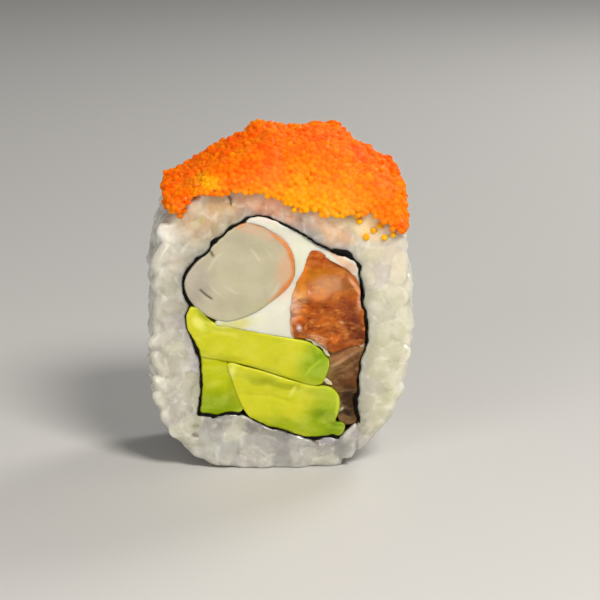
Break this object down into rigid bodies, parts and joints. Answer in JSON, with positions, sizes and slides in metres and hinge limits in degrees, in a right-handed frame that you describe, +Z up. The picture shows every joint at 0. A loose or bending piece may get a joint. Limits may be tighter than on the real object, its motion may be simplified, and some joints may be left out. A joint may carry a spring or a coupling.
{
  "type": "uramaki roll",
  "caption": "Cut piece of inside-out sushi: a ring of rice round a nori sheet with crab stick, salmon, avocado and cream cheese, under a heap of orange roe.",
  "frame": {"origin": "on the surface it stands on, under the middle of the piece", "axes": "+Z up, through the rice ring to the roe; -Y out of the cut that the picture shows; +X to the right of that cut"},
  "size_m": [0.0411, 0.03, 0.0501],
  "materials": {
    "rice": "moist, slightly translucent",
    "nori": "damp, wrinkled",
    "crab_stick": "moist, with an orange skin on one side",
    "avocado": "smooth and buttery",
    "salmon": "wet, with pale bands",
    "dark_fish": "wet and translucent",
    "cream_cheese": "smooth",
    "roe": "shiny and translucent"
  },
  "bodies": {
    "root": {"rice": "rice", "nori": "nori", "crab_stick": "crab_stick", "avocado_top": "avocado", "avocado_low": "avocado", "avocado_left": "avocado", "salmon": "salmon", "dark_fish": "dark_fish", "cream_cheese": "cream_cheese", "tobiko": "roe"}
  },
  "joints": []
}
